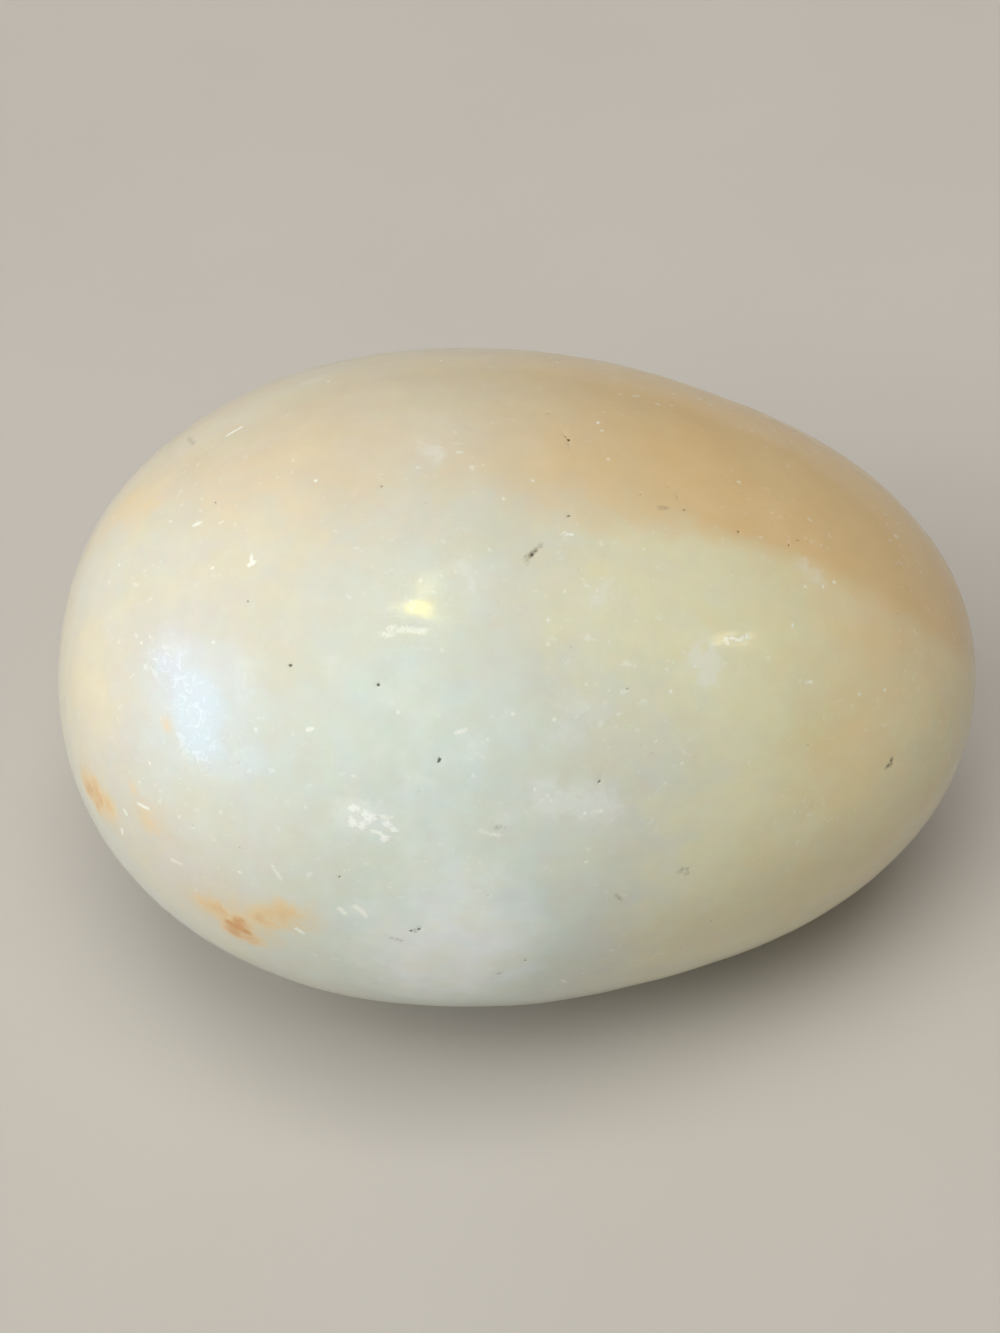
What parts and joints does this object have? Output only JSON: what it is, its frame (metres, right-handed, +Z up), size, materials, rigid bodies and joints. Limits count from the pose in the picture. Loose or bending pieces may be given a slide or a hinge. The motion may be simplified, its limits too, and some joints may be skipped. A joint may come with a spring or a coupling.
{
  "type": "ostrich egg",
  "caption": "Whole ostrich egg with a thick, glossy ivory shell, lightly stained, pored and scuffed, lying on its side on a small flat spot.",
  "frame": {"origin": "on the surface that the egg lies on, below the middle of its bounding box", "axes": "+X along the egg towards its pointed end, +Z up, -Z out of the flat spot that it rests on"},
  "size_m": [0.1598, 0.114, 0.1141],
  "materials": {
    "eggshell": "naturally glossy ivory eggshell with fine pores, tan staining and chalky scuffs"
  },
  "bodies": {
    "root": {"egg": "eggshell"}
  },
  "joints": []
}
